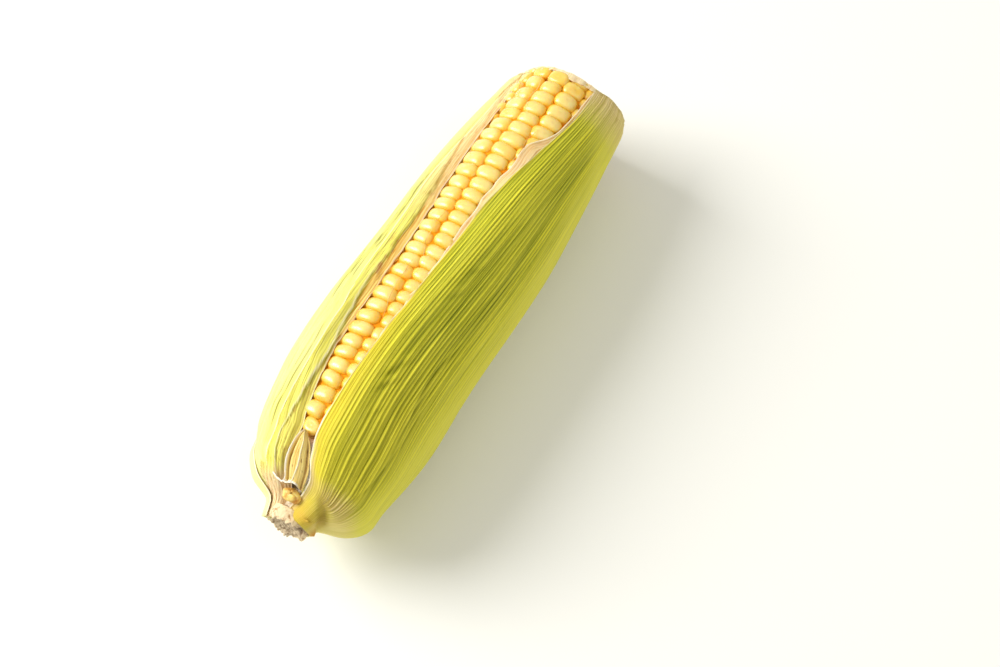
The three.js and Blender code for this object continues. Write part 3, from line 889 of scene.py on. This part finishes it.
def left_leaf(material):
    def pattern(x, share):
        return veins(22, share * 27, x)

    def depth(x, angle, share, edge):
        cover = under_leaf_edge(x)
        dive = OVERLAP_LAYER * smoothstep(angle, cover - 22, cover - 9)
        height = 0.7 * pattern(x, share) + 0.15 * noise(24, share * 8, x / 80, 1)
        overlap = np.radians(left_leaf_edge(x) - window_left(x)) * husk_radius(x)
        on_inner = inner_left_depth(x, left_leaf_edge(x), overlap) - 0.2
        calm = mix(0.3, 1, smoothstep(angle, cover + 2, cover - 22)) * smoothstep(edge, 0, 2)
        settle = mix(on_inner, 0.3, smoothstep(edge, 0, 8))
        return dive + settle - height * calm * smoothstep(x, 4, 12)

    # painted shade: thin broken dark lines along the free edge, for the shade of the edge's folds
    def painted_shade_lines(x, edge):
        wander = 0.7 * noise(29, x / 9)
        lines = hump(edge, 2.3 + wander, 0.3) + 0.8 * hump(edge, 4.2 + wander, 0.28)
        lines = lines + 0.6 * hump(edge, 6.6 - wander, 0.25)
        broken_painted_shade = smoothstep(noise(30, x / 6, edge / 3), -0.6, 0.3)
        return 0.9 * lines * broken_painted_shade * smoothstep(x, 135, 110) * smoothstep(x, 14, 26)

    def rib(x, angle, share, edge):
        light = 0.28 + 0.62 * np.sqrt(pattern(x, share))
        return light + 0.2 * noise(28, share * 14, x / 50) - painted_shade_lines(x, edge)

    def gold(x, angle, share, edge):
        return 0.25 * smoothstep(edge, 5, 0.5) * smoothstep(x, 160, 110)

    def pale(x, angle, share, edge):
        patches = 0.1 + 0.3 * noise(25, x / 50, angle / 10)
        away_from_edge = 0.4 * smoothstep(edge, 3, 14)
        tip, foot = 0.2 * smoothstep(x, 80, 130), 0.3 * smoothstep(x, 20, 6)
        return patches + away_from_edge + tip + foot

    def dry(x, angle, share, edge):
        return 0.8 * smoothstep(x, 150, 168) + 0.5 * hump(x, 13, 2) * hump(angle, 48, 4)

    def margin(x, angle, share, edge):
        return smoothstep(edge, 0.6, 0.2) * mix(0.7, 1, smoothstep(x, 26, 16))

    leaf("left_leaf", "husk_outer_left", "husk_pale", material, left_leaf_edge,
         level(LEFT_LEAF_HIGH), depth, 130, 220, free_edge="low", fray=frayed(0.7, 26, 8),
         shift=left_foot, facts=(rib, gold, pale, dry, margin))


def under_leaf(material):
    def rib(x, angle, share, edge):
        return veins(42, share * 34, x)

    def depth(x, angle, share, edge):
        height = 0.5 * rib(x, angle, share, edge) + 0.35 * noise(44, share * 12, x / 80, 1)
        return mix(0.7, 0.3, smoothstep(edge, 0, 4)) - height * smoothstep(x, 4, 12)

    def gold(x, angle, share, edge):
        return 0.3 * smoothstep(x, 26, 8) + 0.2 * noise(47, share * 7, x / 70)

    def pale(x, angle, share, edge):
        patches = 0.35 + 0.25 * noise(45, x / 50, angle / 12)
        return patches + 0.4 * smoothstep(x, 26, 8) + 0.3 * smoothstep(angle, 140, 100)

    def dry(x, angle, share, edge):
        return 0.85 * smoothstep(x, 154, 170)

    def margin(x, angle, share, edge):
        return smoothstep(edge, 0.6, 0.2)

    leaf("under_leaf", "husk_outer_under", "husk_green", material, under_leaf_edge,
         under_right_edge, depth, 110, 330, free_edge="low", fray=frayed(0.7, 46, 9),
         shift=left_foot, facts=(rib, gold, pale, dry, margin))


def inner_trim(angle):
    return tip_trim(angle) + 1.6


def inner_right_leaf(material):
    def rib(x, angle, share, edge):
        return ribs(52, edge / 1.1 + 0.4 * noise(54, x / 40), x)

    def depth(x, angle, share, edge):
        crinkle = 0.18 * noise(51, x / 5, edge / 1.5) * smoothstep(edge, 5, 0)
        return inner_depth(x, edge, 0.1) - 0.18 * rib(x, angle, share, edge) - crinkle

    def green(x, angle, share, edge):
        return smoothstep(x, 70, 40)

    def blush(x, angle, share, edge):
        return 0.75 * smoothstep(x, 80, 95) + 0.25 * noise(53, x / 12)

    def dry(x, angle, share, edge):
        return 0.45 + 0.5 * noise(55, x / 18, angle / 9)

    def margin(x, angle, share, edge):
        return 0.8 * smoothstep(edge, 0.5, 0.1)

    leaf("inner_right_leaf", "husk_inner_right", "husk_inner", material, level(-179.5),
         window_right, depth, 170, 150, fray=frayed(0.9, 56, 5), trim=inner_trim, closing=0.2,
         facts=(rib, green, blush, dry, margin))


def inner_left_leaf(material):
    def pattern(x, edge):
        return ribs(63, edge / 0.85 + 0.4 * noise(64, x / 30), x)

    def depth(x, angle, share, edge):
        crinkle = 0.16 * noise(65, x / 5, edge / 1.5) * smoothstep(edge, 7, 1)
        return inner_left_depth(x, angle, edge) - 0.35 * pattern(x, edge) - crinkle

    def from_line(x, angle):
        return angle - golden_line(x) - golden_wave(x)

    def rib(x, angle, share, edge):
        # painted shade: a dark line along the step where the golden line's layer ends
        return 1.15 * pattern(x, edge) + 0.05 - 0.9 * hump(from_line(x, angle), 0, 0.9)

    def green(x, angle, share, edge):
        return smoothstep(from_line(x, angle), -1.2, 0.3) + 0.8 * smoothstep(x, 62, 35)

    def blush(x, angle, share, edge):
        return 0.65 * smoothstep(x, 90, 130) + smoothstep(x, 11, 6)

    def dry(x, angle, share, edge):
        patches = 0.35 + 0.5 * noise(66, x / 12, angle / 5)
        # the last term browns the same step's line as painted shade; the rest are the leaf's own dry
        # patches
        return patches + smoothstep(x, 10, 6) + 0.4 * hump(from_line(x, angle), -0.6, 0.8)

    def margin(x, angle, share, edge):
        step = 0.6 * hump(from_line(x, angle), 1.4, 0.5) * smoothstep(x, 90, 60)
        return 0.7 * smoothstep(edge, 0.5, 0.1) + step

    leaf("inner_left_leaf", "husk_inner_left", "husk_inner", material, window_left, level(179.5),
         depth, 200, 200, free_edge="low", fray=frayed(0.9, 57, 6), trim=inner_trim,
         closing=0.2, shift=left_foot, facts=(rib, green, blush, dry, margin))


def tip_band(material):
    """The innermost leaf's end, shrunk onto the last kernels."""
    def depth(x, angle, share, edge):
        return kernel_depth(x) + 0.05 + 0.2 * noise(58, angle / 5, x / 3)

    def trim(angle):
        return tip_trim(angle) - 0.2

    def ragged(x, angle, share, edge):
        return 0.8 * noise(71, angle / 6) * smoothstep(x, 171, 169)

    def rib(x, angle, share, edge):
        return 0.75 + 0.35 * noise(59, angle / 2)

    def blush(x, angle, share, edge):
        return 1 + 0 * x

    def margin(x, angle, share, edge):
        return 0.3 + 0.4 * noise(67, angle / 7, x / 2)

    def dry(x, angle, share, edge):
        return 0.1 + 0.4 * noise(60, angle / 8)

    leaf("tip_band", "husk_tip_band", "husk_inner", material, level(-46), level(76), depth, 16,
         200, start=FINE_RUN[-1] - 5.4, trim=trim, closing=0.5, shift=ragged,
         facts=(rib, blush, margin, dry))


def husk():
    green = husk_material("husk_green_leaf", rgb(104, 116, 0), rgb(240, 232, 64),
                          rgb(230, 224, 92))
    pale = husk_material("husk_pale_leaf", rgb(128, 128, 0), rgb(250, 244, 132),
                         rgb(252, 248, 184))
    membrane = membrane_material()
    right_leaf(green)
    under_leaf(pale)
    left_leaf(pale)
    inner_right_leaf(membrane)
    inner_left_leaf(membrane)
    tip_band(membrane)


# ------------ bract, bud and silk
# Edges of the bract as (station, angle) pairs, and its midrib as a share of the way across.
BRACT_RIGHT = [(8.2, -9), (12, -7), (16, -1.5), (19, 3), (22.6, 12.2)]
BRACT_LEFT = [(8.2, 19), (12, 20.5), (16, 19.8), (19.5, 18), (22.6, 13.8)]
BRACT_MIDRIB = [(8.2, 0.6), (13, 0.42), (19, 0.4), (22.6, 0.5)]
LIGULE_ROUTE = [(10.4, 44), (9, 38), (8.1, 31), (7.7, 22), (8.2, 8)]  # (station, angle)
BUD_SIZE = (2.1, 3.0, 2.0)  # half its length, breadth and height


def ligule(material):
    """The thin white rim of skin that crosses the leaves' feet at the bottom of the bract."""
    xs, angles = np.array(LIGULE_ROUTE, float).T
    along = np.linspace(angles[0], angles[-1], 80)
    station = np.interp(along, angles[::-1], xs[::-1]) + 0.15 * noise(73, along / 4)
    path = place(station, along, husk_radius(station) - 1.2 - 0.9 * smoothstep(along, 32, 42))
    points, faces = tube(path, 0.3)
    facts = {"margin": np.ones(len(points)), "across": points[:, 1], "along": points[:, 0]}
    piece("ligule", points, faces, material, facts=facts)


def bract():
    """The small withered leaf at the window's foot, folded into a midrib and two hollows."""
    rows, columns = 90, 80
    x = np.linspace(BRACT_LEFT[0][0], BRACT_LEFT[-1][0], rows)[:, None]
    share = np.linspace(0, 1, columns)[None, :]
    angle = mix(through(BRACT_RIGHT)(x), through(BRACT_LEFT)(x), share)
    midrib = through(BRACT_MIDRIB)(x)
    grown = smoothstep(x, 23, 16)  # the creases fade out towards the point
    belly = (0.5 + 0.9 * grown) * hump(share, 0.45, 0.3)
    hollows = grown * (0.9 * hump(share, 0.86, 0.05) + 0.6 * hump(share, 0.13, 0.06))
    ridge = 0.35 * hump(share, midrib, 0.03) + 0.7 * smoothstep(share, 0.91, 0.99)
    crease = 0.16 * ribs(68, share * 9 + 0.6 * noise(69, x / 4), x)
    lip = 0.9 * smoothstep(x, 9.4, 8.2) * smoothstep(share, 0.15, 0.4)
    radius = husk_radius(x) - 2.9 + belly - hollows + ridge + crease + lip
    points = np.concatenate([place(x, angle, radius).reshape(-1, 3),
                             place(x, angle, radius - 0.35).reshape(-1, 3)])
    margin = (smoothstep(share, 0.92, 0.97) + 0.8 * hump(share, midrib, 0.022)
              + smoothstep(x, 8.9, 8.4) * smoothstep(share, 0.15, 0.4))
    patches = 0.75 + 0.35 * noise(72, x / 2.5, share * 3)
    # painted shade: where the dark brown goes, in the bract's two hollows
    brown = grown * patches * (hump(share, 0.86, 0.04) + 0.8 * hump(share, 0.12, 0.06))
    facts = {"along": x + 0 * angle, "across": 5 * share + 0 * angle,
             "hollow_painted_shade": brown + 0 * angle, "margin": np.clip(margin, 0, 1) + 0 * angle}
    material = bract_material()
    piece("bract", points, sheet_faces(rows, columns), material, "base_bract",
          on_both_faces(facts))
    ligule(material)


def bud():
    """A dented little ball."""
    rows, columns = 24, 36
    polar = np.linspace(0.12, math.pi - 0.12, rows)[:, None]
    turn = np.linspace(0, 2 * math.pi, columns, endpoint=False)[None, :]
    dent = 0.16 * hump(np.cos(turn + polar), 0.5, 0.12)
    size = 1 + 0.1 * noise(70, turn * 1.5, polar * 2) - dent
    ball = np.stack([np.sin(polar) * np.cos(turn) * size, np.sin(polar) * np.sin(turn) * size,
                     np.cos(polar) * size + 0 * turn], axis=-1) * BUD_SIZE
    centre = place(6.3, 6, 9.0)
    faces = quads(rows, columns, closed=True).tolist()
    faces.append(list(range(columns - 1, -1, -1)))
    faces.append(list(range((rows - 1) * columns, rows * columns)))
    piece("bud", centre + ball, faces, bud_material(), "base_bud")


def tube(path, radius):
    """A closed thread along a path of points, thinner towards its ends."""
    sides = 6
    ahead = np.gradient(path, axis=0)
    ahead /= np.linalg.norm(ahead, axis=1, keepdims=True)
    side = np.cross(ahead, (0, 0, 1.0))
    side /= np.linalg.norm(side, axis=1, keepdims=True)
    up = np.cross(side, ahead)
    t = 2 * math.pi * np.arange(sides) / sides
    taper = np.sin(np.linspace(0.12, math.pi - 0.12, len(path))) ** 0.4
    ring = (np.cos(t)[None, :, None] * side[:, None] + np.sin(t)[None, :, None] * up[:, None])
    points = path[:, None] + radius * taper[:, None, None] * ring
    return points.reshape(-1, 3), capped_faces(len(path), sides)


SILK_ROUTES = [  # (station, angle) points; the first three stand for the CAD's strands, in order
    [(129, -3.2), (134, -4.2), (140, -3.6), (146, -5)],
    [(64, 6), (71, 10.5), (78, 14.5), (86, 14)],
    [(150, 40), (157, 36), (163, 42), (167, 38)],
    [(88, 10), (94, 16), (101, 18.5), (108, 17)],
    [(128, 34), (136, 39), (144, 41), (150, 44)],
    [(56, 24), (64, 27), (72, 26), (80, 29)],
    [(150, 14), (156, 20), (161, 19), (166, 23)],
]


def silk():
    material = silk_material()
    for number, route in enumerate(SILK_ROUTES, 1):
        stations = np.linspace(route[0][0], route[-1][0], 60)
        angle = through(route)(stations) + 0.8 * noise(70 + number, stations / 5)
        lift = 0.25 + 0.25 * noise(80 + number, stations / 4)
        path = place(stations, angle, crown_radius(stations) + lift)
        points, faces = tube(path, 0.09)
        node = "silk_strand_%02d" % number if number <= 3 else None
        piece("silk_%02d" % number, points, faces, material, node)


# ------------ floor, light and camera
FLOOR_SIZE = 6  # metres
LIT_POINT = (0, 0, 0.02)
WORLD_COLOUR, WORLD_STRENGTH = (1, 0.985, 0.9, 1), 0.58
CAMERA_AZIMUTH, CAMERA_ELEVATION = -59.5, 65  # degrees
CAMERA_DISTANCE = 0.595
LENS, SENSOR = 68.4, 36


def stage():
    bpy.ops.mesh.primitive_plane_add(size=FLOOR_SIZE)
    floor = bpy.context.object
    floor.name = "floor"
    floor.data.materials.append(floor_material())


def area_light(name, position, size, power, colour):
    """A round soft light that faces the ear. Positions and sizes are in metres."""
    data = bpy.data.lights.new(name, "AREA")
    data.shape = "DISK"
    data.size = size
    data.energy = power
    data.color = colour
    lamp = bpy.data.objects.new(name, data)
    lamp.location = position
    lamp.rotation_euler = (Vector(LIT_POINT) - lamp.location).to_track_quat("-Z", "Y").to_euler()
    bpy.context.scene.collection.objects.link(lamp)


def lights():
    """A sunny key from the far side, a weak warm fill from the near side and a bright sky."""
    area_light("key", (-0.28, 1.05, 0.82), 0.95, 21, (1.0, 0.985, 0.95))
    area_light("fill", (0.3, -1.2, 1.1), 1.4, 3.6, (1.0, 0.97, 0.82))
    world = bpy.data.worlds.new("studio")
    world.use_nodes = True
    background = world.node_tree.nodes["Background"]
    background.inputs["Color"].default_value = WORLD_COLOUR
    background.inputs["Strength"].default_value = WORLD_STRENGTH
    bpy.context.scene.world = world
    bpy.context.scene.view_settings.view_transform = "Standard"


def camera():
    """The photo's view of the ear, from above its near side."""
    azimuth, elevation = math.radians(CAMERA_AZIMUTH), math.radians(CAMERA_ELEVATION)
    target = Vector(((SHANK_X + 86.8) * MM, (AXIS_Y - 22.9) * MM, AXIS_Z * MM))
    back = Vector((math.sin(azimuth) * math.cos(elevation),
                   -math.cos(azimuth) * math.cos(elevation), math.sin(elevation)))
    data = bpy.data.cameras.new("camera")
    data.lens = LENS
    data.sensor_width = SENSOR
    data.clip_start = 0.01
    eye = bpy.data.objects.new("camera", data)
    eye.location = target + back * CAMERA_DISTANCE
    eye.rotation_euler = back.to_track_quat("Z", "Y").to_euler()
    bpy.context.scene.collection.objects.link(eye)
    bpy.context.scene.camera = eye


camera()
lights()
stage()
husk()
kernels()
cob()
bract()
bud()
silk()
